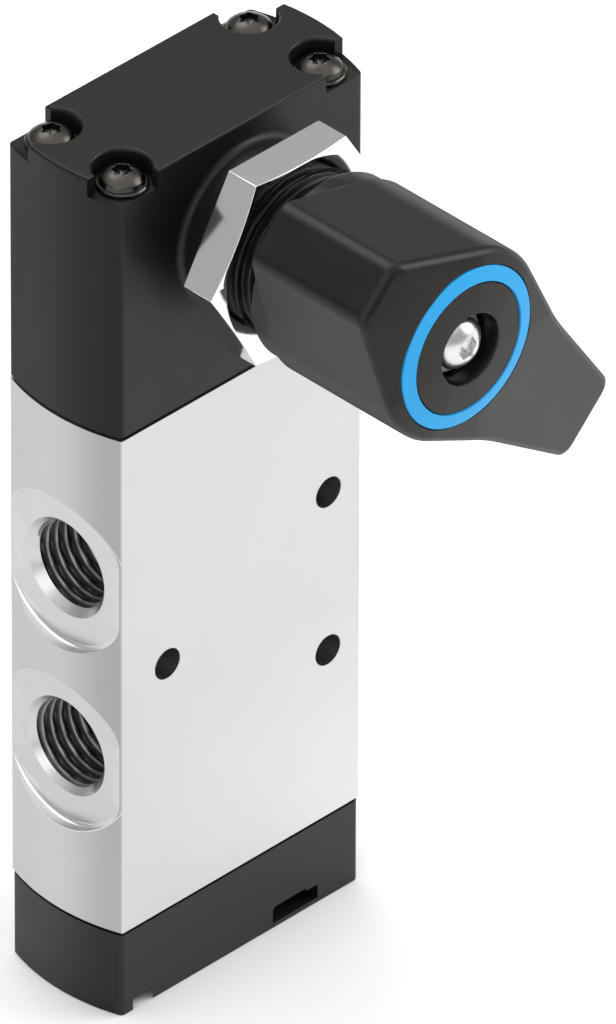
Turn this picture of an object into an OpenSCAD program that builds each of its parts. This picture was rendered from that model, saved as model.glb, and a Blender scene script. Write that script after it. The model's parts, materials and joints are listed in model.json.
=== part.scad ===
// Manual switching valve: a five-port spool valve that a turning knob works through a cam.
// The origin is where the knob's axis meets the front of the actuator housing, the seat of a panel.
// The knob points along -Y, the spool slides along Z and the valve is 14.7 mm thick along Y.

/* [Valve body] */
// Width of the flat front face, corner to corner
body_w = 30.9; // [30.4:0.1:33]
// Thickness from the front face to the rear face
body_d = 14.7; // [14.5:0.1:16]
// Height of the aluminium body
body_h = 55.9; // [55.9:0.1:62]
// How far each narrow side bulges at its middle
side_bulge = 1.3; // [1:0.1:1.6]
// Rounding of the body's upright edges
edge_r = 0.3; // [0.2:0.05:0.4]
// Rounding of the upright edges of housing and cap
cover_edge_r = 0.55; // [0.4:0.05:0.7]

/* [Ports] */
// Radius of the wall of a tapped port, at the crests of its thread
port_r = 4.283; // [4.1:0.01:4.4]
// Depth of a port's thread from its spotface
port_depth = 8; // [7.6:0.1:8.4]
// Radius of the countersink at a port's mouth
port_mouth_r = 5.14; // [4.9:0.01:5.3]
// Depth of that countersink
port_mouth_depth = 0.9; // [0.6:0.05:1.2]
// Radius of the flat spotface round a port
spotface_r = 8.25; // [7.8:0.05:8.6]
// How far the spotface stands outside the corners of the body
spotface_stand = 0.1; // [0.05:0.01:0.2]
// Distance between the two working ports
work_pitch = 20.3; // [20:0.1:21]
// Distance from the supply port to each exhaust port
exhaust_pitch = 18.5; // [18:0.1:18.8]
// Radius of the drilling between a port and the spool bore
passage_r = 2; // [1.6:0.1:2.4]

/* [Fixing holes] */
// Radius of the three holes through the body
fix_r = 1.625; // [1.5:0.025:1.75]
// Distance of the pair of holes from the spool axis
fix_pair_x = 11.3; // [10.8:0.1:11.6]
// Distance between the two holes of the pair
fix_pitch = 18; // [17.4:0.1:18.4]
// Distance of the single hole from the spool axis
fix_single_x = 9.6; // [9.2:0.1:10]

/* [Actuator housing] */
// Height of the housing above the body
housing_h = 28.1; // [27.6:0.1:31]
// Distance from the knob's axis up to the housing's top
axis_drop = 10.5; // [10.2:0.1:11.5]
// Thickness of the front and rear walls
wall = 1.75; // [1.5:0.05:1.9]
// Thickness of the top wall
roof = 2; // [1.8:0.1:2.1]
// Width of the cavity that holds the cam
cavity_w = 18; // [17.6:0.1:18.4]
// Depth of the notch at each top corner
notch_depth = 2; // [1.8:0.1:2.2]
// Radius of the scallop round each screw head
notch_r = 2.8; // [2.7:0.05:2.9]
// How far the notch reaches from the corner along the front and rear faces
notch_front = 4.65; // [4.4:0.05:4.8]
// How far it reaches along the narrow sides
notch_flank = 3.5; // [3.3:0.05:3.7]

/* [Panel sleeve and nut] */
// Radius of the threaded sleeve
sleeve_r = 8; // [7.6:0.1:8.2]
// Length of the sleeve in front of the housing
sleeve_l = 13; // [12.6:0.1:13.4]
// Radius of the bore through the sleeve
sleeve_bore_r = 5; // [4.9:0.05:5.2]
// Radius of the fillet at the foot of the sleeve
foot_r = 0.8; // [0.5:0.1:1]
// Width of the nut across its flats
nut_af = 20; // [19.6:0.1:21]
// Thickness of the nut
nut_t = 4; // [3.6:0.1:4.4]
// Space for the panel between housing and nut
nut_gap = 4.08; // [3.6:0.02:4.2]

/* [Knob] */
// Space between the housing and the back of the knob
knob_gap = 10.65; // [10.4:0.05:11]
// Length of the knob along its axis, up to the outer edge of its coloured ring
knob_l = 18.4; // [18:0.1:19]
// Slope of the knob's front face along its pointer
face_slope = 11; // [9:0.5:13]
// Radius of the dome that the front face follows on the heel's side
heel_dome_r = 38; // [34:1:46]
// Radius of the shallow dome inside the ring
face_dome_r = 55; // [40:1:80]
// Radius of the knob's round middle
knob_r = 9.8; // [9.4:0.1:10.2]
// Length of the knob's round skirt at the back
skirt_l = 2.4; // [2:0.1:2.8]
// Radius of that skirt
skirt_r = 9.4; // [9.2:0.1:9.4]
// Distance from the axis to the tip of the pointer
tail_l = 28.4; // [26:0.2:31]
// Width of the pointer at its tip
tail_w = 8.3; // [7.6:0.1:8.8]
// Distance from the axis to the blunt end opposite the pointer
heel_l = 13.9; // [13.4:0.1:14.6]
// Direction of a normal to the flanks that lead to the blunt end
heel_angle = 121.3; // [120:0.1:123]
// Direction of a normal to the flanks that lead to the pointer
neck_angle = 72.3; // [71:0.1:74]
// Wall of the hollows moulded into the back of the knob
knob_wall = 2; // [1.8:0.1:2.2]
// Outer radius of the coloured ring
ring_r = 8.2; // [8:0.05:8.4]
// Width of the coloured ring
ring_w = 1.5; // [1.3:0.05:1.7]
// Thickness of the coloured ring
ring_t = 0.8; // [0.6:0.05:1]
// Radius of the recess round the knob's screw
recess_r = 3.6; // [3.4:0.05:3.8]
// Depth of that recess behind the ring's outer edge
recess_depth = 2.2; // [2:0.1:2.4]
// Radius of the rounded edge round the knob's front face
knob_edge_r = 1.15; // [0.6:0.05:1.3]

/* [Shaft] */
// Radius of the knob's shaft
shaft_r = 3; // [2.9:0.05:3.1]
// Width of the square that drives the knob and the cam
square_w = 4.2; // [3.9:0.05:4.25]
// Radius of the journal at the shaft's rear end
journal_r = 2; // [1.8:0.05:2.05]
// Length of the square inside the knob
knob_square_l = 6; // [5.5:0.1:6.5]

/* [Cam and tappet] */
// Lift of the cam's face at rest, from the shaft's axis
cam_low = 5; // [4.8:0.1:5.1]
// Travel of the spool over the knob's whole turn
stroke = 3; // [2.8:0.1:3.1]
// Thickness of the cam
cam_t = 4.8; // [4.4:0.1:5]
// Radius of the tappet's flat head
tappet_head_r = 4.6; // [4.2:0.1:4.8]
// Radius of the tappet's stem
tappet_r = 2.2; // [2:0.05:2.3]

/* [Spool and seals] */
// Radius of the spool bore
bore_r = 4.75; // [4.7:0.01:4.9]
// Radius of the spool's lands
spool_r = 2.9; // [2.8:0.05:3]
// Radius of the spool's necks
neck_r = 1.7; // [1.5:0.05:1.9]
// Radius of the section of a seal ring
seal_section_r = 0.86; // [0.8:0.01:0.88]
// Distance from an exhaust port to the seal at the bore's end
end_seal_gap = 5.1; // [5:0.05:5.3]

/* [Bottom cap] */
// Height of the cap under the body, its gasket included
cap_h = 9.65; // [9.3:0.05:11]
// How far the cap's walls lie inside the body's
cap_inset = 0.1; // [0.06:0.02:0.2]
// Depth of the counterbore under each cap screw
cap_notch_depth = 1.45; // [1.4:0.05:1.6]
// Radius of that counterbore
cap_notch_r = 2.95; // [2.9:0.05:3]
// Thickness of the gaskets above and below the body
gasket_t = 0.4; // [0.3:0.05:0.45]

/* [Screws] */
// Distance of a corner screw from both faces of its corner
screw_inset = 2.75; // [2.7:0.05:2.85]
// Radius of a screw's shank
screw_r = 1.25; // [1.1:0.05:1.3]
// Radius of the collar under a screw's head
collar_r = 2.5; // [2.3:0.05:2.6]
// Thickness of that collar
collar_t = 0.45; // [0.35:0.05:0.55]
// Radius of a screw's domed head
dome_r = 2.12; // [1.9:0.02:2.2]
// Height of the dome above the collar
dome_h = 1.35; // [1.2:0.05:1.45]
// Length of thread that each corner screw has in the body
screw_grip = 5.4; // [5:0.1:5.6]

/* [Hidden] */
$fn = 48;

// The knob's turn, and its pointer's direction at rest, anticlockwise from +X seen from the front
knob_turn = 90;
pointer_angle = -45;

// Clearances: between a running pair, a seated pair and two parts that only pass each other
run_gap = 0.05;
seat_gap = 0.03;
pass_gap = 0.35;
cut = 1;

// Heights of the joints between the parts, and the spool's axis
z_top = axis_drop;
z_joint = z_top - housing_h;
z_base = z_joint - body_h;
z_foot = z_base - cap_h;
z_mid = z_base + body_h / 2;
y_mid = body_d / 2;

// The bulging sides are arcs through the corners of the flat faces
bulge_r = (body_d * body_d / 4 + side_bulge * side_bulge) / (2 * side_bulge);
bulge_x = body_w / 2 + side_bulge - bulge_r;
spot_x = body_w / 2 + spotface_stand;
port_floor_x = spot_x - port_depth;

screw_x = body_w / 2 - screw_inset;
screw_y = body_d / 2 - screw_inset;
screw_hole_r = screw_r + pass_gap;
notch_floor = z_top - notch_depth;

work_z = work_pitch / 2;
seal_half = seal_section_r + 0.09;
seal_inner = work_z / 2;
seal_middle = (exhaust_pitch + work_z) / 2;
seal_outer = exhaust_pitch + end_seal_gap;
seal_places = [seal_outer, seal_middle, seal_inner, -seal_inner, -seal_middle, -seal_outer];
seal_ring_r = bore_r - run_gap - seal_section_r;

// Ends of the spool and its two necks, measured from the supply port with the spool up
spool_top = seal_outer + seal_half + stroke + 0.4;
spool_foot = -seal_outer - seal_half - 0.45;
neck_margin = 0.5;
upper_neck = [seal_inner - seal_half - 0.1 + stroke, seal_middle + seal_half + neck_margin];
lower_neck = [-seal_middle - seal_half - 0.1 + stroke, -seal_inner + seal_half + neck_margin];

cavity_top = z_top - roof;
cavity_front = wall;
cavity_back = body_d - wall;
contact_gap = 0.05;
tappet_top = -cam_low - contact_gap;
tappet_head_t = 2;
tappet_foot = z_mid + spool_top;
guide_flange_r = cavity_back - y_mid - 0.2;
guide_room = 2.3;
guide_top = -cam_low - stroke - tappet_head_t - guide_room;
guide_flange_t = 2.2;
spigot_r = bore_r - run_gap;
spool_hole_r = spool_r + 0.12;

seat_disc_t = 0.8;
seat_nose_r = 1.65;
seat_nose_l = 1.8;
cap_floor = 2.6;
pocket_r = spool_hole_r;
wire_r = 0.22;
spring_r = spool_r - 0.35 - wire_r;
spring_turns = 6;
spring_foot = z_foot + cap_floor;
spring_head = z_mid + spool_foot - seat_disc_t;

knob_front = -knob_gap - knob_l;
shaft_front = knob_front + recess_depth + 2;
washer_t = 0.5;
washer_r = recess_r - 0.3;
knob_screw_head_r = 2.38;
knob_screw_rim = 1.1;
knob_screw_dome = 0.75;
knob_screw_l = 8;
retainer_t = 0.8;
shaft_seal_r = (sleeve_bore_r - shaft_r) / 2 - 0.1;
shaft_seal_y = -sleeve_l + retainer_t + shaft_seal_r + 0.08;
bearing_front = shaft_seal_y + shaft_seal_r + 0.08;
bearing_flange_r = sleeve_bore_r + 1;
bearing_flange_t = 0.6;
clip_y = cavity_front + bearing_flange_t + run_gap;
clip_t = 0.6;
clip_groove_r = shaft_r - 0.5;
square_y = clip_y + clip_t + 0.2;
leaf_t = 0.35;
leaf_w = 1.3;
leaf_y = square_y + 0.2;
leaf_z = square_w / 2 + seat_gap;
leaf_l = 14.6;
post_w = 1.6;
cam_front = leaf_y + leaf_w + 0.25;
boss_r = 4.8;
boss_l = 2.25;
boss_front = cavity_back - boss_l;
journal_y = boss_front - 0.1;
rear_bush_r = journal_r + 1.2;
rear_skin = 1.3;
rear_bush_back = body_d - rear_skin;
hub_r = 4;
hub_back = boss_front - 0.3;

// Outline of body, housing, cap and gaskets, centred on the spool axis and drawn in by inset
module outline(inset, r) {
    half_d = body_d / 2 - inset;
    arc_r = bulge_r - inset;
    corner_x = bulge_x + sqrt(pow(arc_r - r, 2) - pow(half_d - r, 2));
    spoke = [corner_x - bulge_x, half_d - r] / (arc_r - r);
    difference() {
        intersection() {
            translate([bulge_x, 0]) circle(arc_r, $fn = 240);
            translate([-bulge_x, 0]) circle(arc_r, $fn = 240);
            square([3 * body_w, 2 * half_d], center = true);
        }
        for (sx = [-1, 1], sy = [-1, 1]) scale_sign(sx, sy) difference() {
            polygon([[corner_x, half_d - r], [corner_x, half_d + cut],
                [corner_x + cut, half_d + cut], [bulge_x, 0] + arc_r * spoke]);
            translate([corner_x, half_d - r]) circle(r);
        }
    }
}

// Mirrors its children into one of the four quadrants
module scale_sign(sx, sy) {
    mirror([sx < 0 ? 1 : 0, 0, 0]) mirror([0, sy < 0 ? 1 : 0, 0]) children();
}

// A prism of the outline between two heights
module slab(low, high, inset = 0, r = edge_r) {
    translate([0, y_mid, low]) linear_extrude(high - low) outline(inset, r);
}

// Puts a copy at each of the four corner screws
module at_corners() {
    for (x = [-screw_x, screw_x], y = [-screw_y, screw_y])
        translate([x, y_mid + y, 0]) children();
}

// Puts a copy at the two corners where the cap is screwed on
module at_cap_screws() {
    for (s = [-1, 1]) translate([s * screw_x, y_mid + s * screw_y, 0]) children();
}

// A shaft-like cylinder along +Y between two places
module rod(from, to, r) {
    translate([0, from, 0]) rotate([-90, 0, 0]) cylinder(h = to - from, r = r);
}

// A ring along +Y between two places
module tube(from, to, outer, inner) {
    difference() {
        rod(from, to, outer);
        rod(from - cut, to + cut, inner);
    }
}

// A square bar along Y, turned so that its faces lie along X and Z
module bar(from, to, w) {
    translate([-w / 2, from, -w / 2]) cube([w, to - from, w]);
}

// One port, drilled along +X from the spool axis: passage, thread, countersink and spotface
module port_cut() {
    rotate([0, 90, 0]) {
        cylinder(h = spot_x, r = passage_r);
        translate([0, 0, port_floor_x]) cylinder(h = port_depth + cut, r = port_r);
        translate([0, 0, spot_x - port_mouth_depth])
            cylinder(h = port_mouth_depth, r1 = port_r, r2 = port_mouth_r);
        translate([0, 0, spot_x]) cylinder(h = side_bulge + cut, r = spotface_r);
    }
}

module valve_body() {
    color([0.82, 0.83, 0.84]) difference() {
        slab(z_base, z_joint);
        translate([0, y_mid, z_base - cut]) cylinder(h = body_h + 2 * cut, r = bore_r);
        for (z = [-work_z, work_z])
            translate([0, y_mid, z_mid + z]) rotate([0, 0, 180]) port_cut();
        for (z = [-exhaust_pitch, 0, exhaust_pitch])
            translate([0, y_mid, z_mid + z]) port_cut();
        for (z = [-fix_pitch / 2, fix_pitch / 2])
            translate([fix_pair_x, 0, z_mid + z]) rod(-cut, body_d + cut, fix_r);
        translate([-fix_single_x, 0, z_mid]) rod(-cut, body_d + cut, fix_r);
        at_corners() translate([0, 0, z_joint - screw_grip - 0.3])
            cylinder(h = screw_grip + cut, r = screw_r + seat_gap);
        at_cap_screws() translate([0, 0, z_base - cut])
            cylinder(h = screw_grip + cut + 0.3, r = screw_r + seat_gap);
    }
}

// The stepped slot in the cap's front face
slot_left = 4.3;
slot_w = 5.9;
slot_step_x = 8.7;
slot_low = 0.6;
slot_h = 1.82;
slot_drop = 0.3;
slot_depth = 4;
module cap_slot() {
    translate([0, cap_inset, z_foot + slot_low]) rotate([90, 0, 0])
        translate([0, 0, -slot_depth]) linear_extrude(slot_depth + cut) polygon([
            [slot_left, 0], [slot_left + slot_w, 0], [slot_left + slot_w, slot_h - slot_drop],
            [slot_step_x, slot_h - slot_drop], [slot_step_x, slot_h],
            [slot_left + 0.35, slot_h], [slot_left, slot_h - 0.35]]);
}

module bottom_cap() {
    color([0.16, 0.16, 0.16]) difference() {
        slab(z_foot, z_base - gasket_t, cap_inset, cover_edge_r);
        translate([0, y_mid, spring_foot]) cylinder(h = cap_h, r = pocket_r);
        at_cap_screws() {
            translate([0, 0, z_foot - cut]) cylinder(h = cap_h + 2 * cut, r = screw_hole_r);
            translate([0, 0, z_foot - cut]) cylinder(h = cap_notch_depth + cut, r = cap_notch_r);
        }
        cap_slot();
    }
}

// A gasket between two heights with a round or a square opening
module gasket(low) {
    color([0.05, 0.05, 0.05]) difference() {
        slab(low, low + gasket_t, 0.35);
        translate([0, 0, low - cut]) children();
    }
}

module cap_gasket() {
    gasket(z_base - gasket_t) {
        translate([0, y_mid, 0]) cylinder(h = 3 * cut, r = pocket_r);
        at_cap_screws() cylinder(h = 3 * cut, r = screw_hole_r);
    }
}

module housing_gasket() {
    gasket(z_joint) {
        translate([-cavity_w / 2, cavity_front, 0])
            cube([cavity_w, cavity_back - cavity_front, 3 * cut]);
        at_corners() cylinder(h = 3 * cut, r = screw_hole_r);
    }
}

// A corner screw with its head's seat at the origin, its shank going down and its dome rise high
module corner_screw(shank, rise) {
    translate([0, 0, -shank]) cylinder(h = shank + collar_t / 2, r = screw_r);
    cylinder(h = collar_t, r = collar_r);
    translate([0, 0, collar_t]) dome(dome_r, rise);
}

// A low domed head: the cap of a sphere on a short rim
module dome(r, h) {
    rim = h / 3;
    rise = h - rim;
    ball_r = (r * r + rise * rise) / (2 * rise);
    intersection() {
        translate([0, 0, h - ball_r]) sphere(ball_r, $fn = 96);
        cylinder(h = h + cut, r = r);
    }
}

module cap_screws() {
    color([0.2, 0.19, 0.18]) at_cap_screws() translate([0, 0, z_foot + cap_notch_depth])
        mirror([0, 0, 1]) corner_screw(cap_h - cap_notch_depth + screw_grip,
            cap_notch_depth - collar_t - 0.05);
}

module housing_screws() {
    color([0.2, 0.19, 0.18]) at_corners() translate([0, 0, notch_floor])
        corner_screw(housing_h - notch_depth + screw_grip, dome_h);
}

// The notch at one top corner: a scallop round the screw, open to both faces
module corner_notch() {
    cylinder(h = notch_depth + cut, r = notch_r);
    far = side_bulge + screw_inset + cut;
    translate([-far, -far, 0])
        cube([far + notch_front - screw_inset, far + notch_flank - screw_inset, notch_depth + cut]);
}

// The threaded sleeve with the fillet at its foot
module sleeve() {
    rod(-sleeve_l, cavity_front, sleeve_r);
    rotate([90, 0, 0]) rotate_extrude() difference() {
        translate([sleeve_bore_r + cut, -wall / 2])
            square([sleeve_r + foot_r - sleeve_bore_r - cut, foot_r + wall / 2]);
        translate([sleeve_r + foot_r, foot_r]) circle(foot_r);
    }
}

module actuator_housing() {
    color([0.17, 0.16, 0.16]) {
        difference() {
            union() {
                difference() {
                    slab(z_joint + gasket_t, z_top, 0, cover_edge_r);
                    translate([-cavity_w / 2, cavity_front, z_joint])
                        cube([cavity_w, cavity_back - cavity_front, cavity_top - z_joint]);
                }
                sleeve();
                rod(boss_front, cavity_back + wall / 2, boss_r);
                for (x = [-1, 1])
                    translate([x * (leaf_l - post_w) / 2 - post_w / 2, leaf_y, leaf_z + leaf_t])
                        cube([post_w, leaf_w, cavity_top - leaf_z]);
            }
            rod(-sleeve_l - cut, cavity_front + cut / 2, sleeve_bore_r);
            rod(boss_front - cut, rear_bush_back, rear_bush_r + seat_gap);
            at_corners() translate([0, 0, z_joint]) cylinder(h = housing_h + cut, r = screw_hole_r);
            for (sx = [-1, 1], sy = [-1, 1]) translate([0, y_mid, notch_floor])
                scale_sign(sx, sy) translate([-screw_x, -screw_y, 0]) corner_notch();
        }
    }
}

// A hexagon whose front corners are turned off at a low angle
module panel_nut() {
    corner_r = nut_af / sqrt(3);
    face_r = nut_af / 2 - 0.1;
    reach = corner_r + cut;
    color([0.75, 0.76, 0.77]) translate([0, -nut_gap, 0]) rotate([90, 0, 0]) difference() {
        intersection() {
            cylinder(h = nut_t, r = corner_r, $fn = 6);
            rotate_extrude() polygon([[0, 0], [reach, 0], [reach, nut_t - (reach - face_r) * tan(15)],
                [face_r, nut_t], [0, nut_t]]);
        }
        translate([0, 0, -cut]) cylinder(h = nut_t + 2 * cut, r = sleeve_r + run_gap);
    }
}

module shaft_bearing() {
    color([0.72, 0.6, 0.35]) difference() {
        union() {
            rod(bearing_front, cavity_front, sleeve_bore_r - seat_gap);
            rod(cavity_front, cavity_front + bearing_flange_t, bearing_flange_r);
        }
        rod(-sleeve_l, cavity_back, shaft_r + run_gap);
    }
}

module rear_bearing() {
    color([0.72, 0.6, 0.35]) tube(boss_front, rear_bush_back, rear_bush_r, journal_r + run_gap);
}

module seal_retainer() {
    color([0.12, 0.12, 0.12])
        tube(-sleeve_l, -sleeve_l + retainer_t, sleeve_bore_r - seat_gap, shaft_r + 0.3);
}

// A seal ring about Z with its middle at the origin
module seal_ring(ring_radius, section_r) {
    rotate_extrude() translate([ring_radius, 0]) circle(section_r, $fn = 24);
}

module shaft_seal() {
    color([0.06, 0.06, 0.06]) translate([0, shaft_seal_y, 0]) rotate([90, 0, 0])
        seal_ring((sleeve_bore_r + shaft_r) / 2 + 0.02, shaft_seal_r);
}

module knob_shaft() {
    color([0.7, 0.71, 0.72]) difference() {
        union() {
            bar(shaft_front, shaft_front + knob_square_l + 0.1, square_w);
            rod(shaft_front + knob_square_l, square_y, shaft_r);
            bar(square_y - 0.1, journal_y, square_w);
            rod(journal_y - 0.1, rear_bush_back - 0.1, journal_r);
        }
        tube(clip_y, clip_y + clip_t, shaft_r + cut, clip_groove_r);
        rod(shaft_front - cut, shaft_front + knob_screw_l - recess_depth, screw_r + seat_gap);
    }
}

module shaft_clip() {
    color([0.3, 0.3, 0.31]) difference() {
        tube(clip_y + 0.02, clip_y + clip_t - 0.02, shaft_r + 1.3, clip_groove_r + seat_gap);
        translate([0, clip_y - cut, 0]) rotate([0, 45, 0])
            translate([-clip_groove_r * 0.8, 0, 0]) cube([clip_groove_r * 1.6, 3 * cut, 2 * shaft_r]);
    }
}

// The cam's face is laid out so that a flat tappet rises by the same amount for each degree.
// Its distance to the tappet is cam_low plus rise times the angle, so the curve is an involute.
cam_steps = 30;
cam_rise = stroke / knob_turn;
cam_lead = stroke / (knob_turn * PI / 180);
function cam_lift(a) = cam_low + cam_rise * min(max(a, 0), knob_turn);
function cam_point(a) = [
    cam_lift(a) * sin(a) + cam_lead * cos(a),
    -cam_lift(a) * cos(a) + cam_lead * sin(a)];
heel_r = cam_low - 0.5;
cam_curve = [for (i = [0 : cam_steps]) cam_point(knob_turn * i / cam_steps)];
cam_back = [for (a = [knob_turn + 60 : 10 : 330]) heel_r * [sin(a), -cos(a)]];

module cam() {
    color([0.35, 0.36, 0.38]) difference() {
        union() {
            translate([0, cam_front + cam_t, 0]) rotate([90, 0, 0])
                linear_extrude(cam_t) polygon(concat(cam_curve, cam_back));
            rod(cam_front + cam_t - 0.1, hub_back, hub_r);
        }
        bar(cam_front - cut, hub_back + cut, square_w + 2 * seat_gap);
    }
}

// A flat strip whose middle lies on the shaft's square and holds it at both ends of its turn
module detent_leaf() {
    color([0.6, 0.61, 0.62]) translate([-leaf_l / 2, leaf_y, leaf_z]) cube([leaf_l, leaf_w, leaf_t]);
}

// Where two lines cross, each given by its normal's direction and its distance from the axis
function crossing(a1, d1, a2, d2) = [
    (d1 * sin(a2) - d2 * sin(a1)) / sin(a2 - a1),
    (d2 * cos(a1) - d1 * cos(a2)) / sin(a2 - a1)];

// The points of an arc of radius r that rounds the corner b between a and c
function rounded(a, b, c, r, n) =
    let (u = (a - b) / norm(a - b), v = (c - b) / norm(c - b))
    let (half = acos(u * v) / 2, mid = (u + v) / norm(u + v), centre = b + mid * r / sin(half))
    let (p = b + u * r / tan(half) - centre, q = b + v * r / tan(half) - centre)
    let (from = atan2(p[1], p[0]), sweep = (atan2(q[1], q[0]) - from + 540) % 360 - 180)
    [for (i = [0 : n]) centre + r * [cos(from + sweep * i / n), sin(from + sweep * i / n)]];

// Half of the knob's outline from the pointer's tip to the blunt end, drawn in by inset
tail_slope = 81.9;
function knob_half(inset) =
    let (tip = [tail_l - inset, 0], end_half = tail_w / 2, d = knob_r - inset)
    let (side_d = tail_l * cos(tail_slope) + end_half * sin(tail_slope) - inset)
    let (corner = [tail_l - inset, (side_d - (tail_l - inset) * cos(tail_slope)) / sin(tail_slope)])
    let (shoulder = crossing(neck_angle, d, tail_slope, side_d))
    let (crown = crossing(neck_angle, d, heel_angle, d))
    let (heel = crossing(heel_angle, d, 180, heel_l - inset), back = [-heel_l + inset, 0])
    concat(
        rounded(tip, corner, shoulder, 1.3 - inset / 4, 3),
        rounded(corner, shoulder, crown, 20 + inset, 4),
        rounded(shoulder, crown, heel, d, 8),
        rounded(crown, heel, back, 1.2, 2));

function knob_outline(inset) =
    let (half = knob_half(inset))
    concat(half, [for (i = [len(half) - 1 : -1 : 0]) [half[i][0], -half[i][1]]]);

// Places what is drawn in the pointer's own frame, with its height along -Y from one place
module pointer_frame(from) {
    translate([0, from, 0]) rotate([90, 0, 0]) rotate([0, 0, pointer_angle]) children();
}

// Height of the front face over the plane of the ring's outer edge: a cone, and on the heel a dome
function face_lift(r) = (ring_r - r) * tan(face_slope);
function heel_share(p) = min(1, max(0, 0.5 - p[0] / norm(p)));
function face_height(p) =
    let (dome = (pow(ring_r, 2) - pow(norm(p), 2)) / (2 * heel_dome_r))
    heel_share(p) * dome + (1 - heel_share(p)) * face_lift(norm(p));

// The knob's solid form: rings of its outline, rounded at the front edge, then its front face
edge_steps = 3;
module knob_form(length) {
    insets = [for (i = [0 : edge_steps])
        knob_edge_r * (1 - cos((90 - face_slope) * i / edge_steps))];
    falls = [for (i = [0 : edge_steps])
        knob_edge_r * (1 / cos(face_slope) - sin((90 - face_slope) * i / edge_steps))
            + (insets[i] - knob_edge_r) * tan(face_slope)];
    count = len(knob_outline(0));
    last = edge_steps + 2;
    points = concat(
        [for (p = knob_outline(0)) [p[0], p[1], 0]],
        [for (i = [0 : edge_steps], p = knob_outline(insets[i]))
            [p[0], p[1], length + face_height(p) - falls[i]]],
        [for (p = knob_outline(insets[edge_steps])) [p[0], p[1], 0] * ring_r / norm(p) + [0, 0, length]],
        [[0, 0, length + face_lift(0)]]);
    walls = [for (i = [0 : count - 1]) let (j = (i + 1) % count) [i, i + count, j + count, j]];
    edge = [for (k = [1 : last - 1], i = [0 : count - 1], half = [0, 1])
        let (a = k * count + i, b = k * count + (i + 1) % count)
        half == 0 ? [a, a + count, b] : [a + count, b + count, b]];
    face = [for (i = [0 : count - 1])
        [last * count + i, len(points) - 1, last * count + (i + 1) % count]];
    back = [for (i = [0 : count - 1]) i];
    polyhedron(points, concat([back], walls, edge, face), convexity = 6);
}

// What lies in front of the dome inside the ring
module above_dome(r) {
    rise = face_lift(ring_r - ring_w);
    centre = rise - sqrt(pow(face_dome_r, 2) - pow(ring_r - ring_w, 2));
    translate([0, knob_front, 0]) rotate([90, 0, 0]) rotate_extrude() difference() {
        square([r, face_lift(0) + cut]);
        translate([0, centre]) circle(face_dome_r, $fn = 360);
    }
}

rib_t = 1.4;
module knob() {
    lobe_back = -knob_gap - skirt_l;
    face_front = knob_front - face_lift(0) - cut;
    hollow_front = knob_front + knob_wall + (tail_l - ring_r) * tan(face_slope);
    color([0.2, 0.19, 0.19]) difference() {
        union() {
            pointer_frame(lobe_back) knob_form(lobe_back - knob_front);
            rod(lobe_back - 0.1, -knob_gap, skirt_r);
        }
        above_dome(ring_r - ring_w);
        tube(face_front, knob_front + ring_t, ring_r + 0.1, ring_r - ring_w - 0.1);
        rod(face_front, knob_front + recess_depth, recess_r);
        rod(knob_front, shaft_front + 0.1, screw_hole_r);
        bar(shaft_front, shaft_front + knob_square_l + 0.2, square_w + 2 * seat_gap);
        rod(shaft_front + knob_square_l - 0.1, -knob_gap, shaft_r + run_gap);
        rod(-sleeve_l - pass_gap, -knob_gap + cut, sleeve_r + 0.5);
        pointer_frame(lobe_back + cut) linear_extrude(lobe_back + cut - hollow_front)
            difference() {
                polygon(knob_outline(knob_wall));
                circle(skirt_r + 0.2);
                translate([-2 * tail_l, -rib_t / 2]) square([4 * tail_l, rib_t]);
            }
    }
}

module knob_ring() {
    inner = ring_r - ring_w;
    color([0.24, 0.66, 0.93]) translate([0, knob_front + ring_t, 0]) rotate([90, 0, 0])
        rotate_extrude() polygon([[inner, 0], [ring_r, 0], [ring_r, ring_t],
            [inner, ring_t + face_lift(inner)]]);
}

module knob_washer() {
    color([0.8, 0.8, 0.8]) translate([0, knob_front + recess_depth, 0])
        tube(-washer_t, 0, washer_r, screw_hole_r);
}

module knob_screw() {
    seat = knob_front + recess_depth - washer_t;
    color([0.8, 0.8, 0.8]) {
        rod(seat - 0.1, seat + knob_screw_l, screw_r);
        rod(seat - knob_screw_rim, seat, knob_screw_head_r);
        translate([0, seat - knob_screw_rim + 0.05, 0]) rotate([90, 0, 0])
            dome(knob_screw_head_r, knob_screw_dome);
    }
}

module tappet() {
    color([0.75, 0.76, 0.77]) translate([0, y_mid, 0]) {
        translate([0, 0, tappet_top - tappet_head_t]) cylinder(h = tappet_head_t, r = tappet_head_r);
        translate([0, 0, tappet_foot]) cylinder(h = tappet_top - tappet_foot - 0.1, r = tappet_r);
    }
}

// The tappet's bush: a spigot in the spool bore, a flange on the body and a collar round the stem
module tappet_guide() {
    spigot_foot = z_mid + seal_outer + seal_half;
    step_z = z_mid + spool_top + pass_gap;
    color([0.55, 0.45, 0.3]) translate([0, y_mid, 0]) difference() {
        union() {
            translate([0, 0, spigot_foot]) cylinder(h = z_joint - spigot_foot + cut, r = spigot_r);
            translate([0, 0, z_joint]) cylinder(h = guide_flange_t, r = guide_flange_r);
            translate([0, 0, z_joint]) cylinder(h = guide_top - z_joint, r = tappet_head_r - 0.6);
        }
        translate([0, 0, spigot_foot - cut])
            cylinder(h = step_z - spigot_foot + cut, r = spool_hole_r);
        translate([0, 0, z_joint - cut])
            cylinder(h = guide_top - z_joint + 2 * cut, r = tappet_r + run_gap);
    }
}

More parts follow.
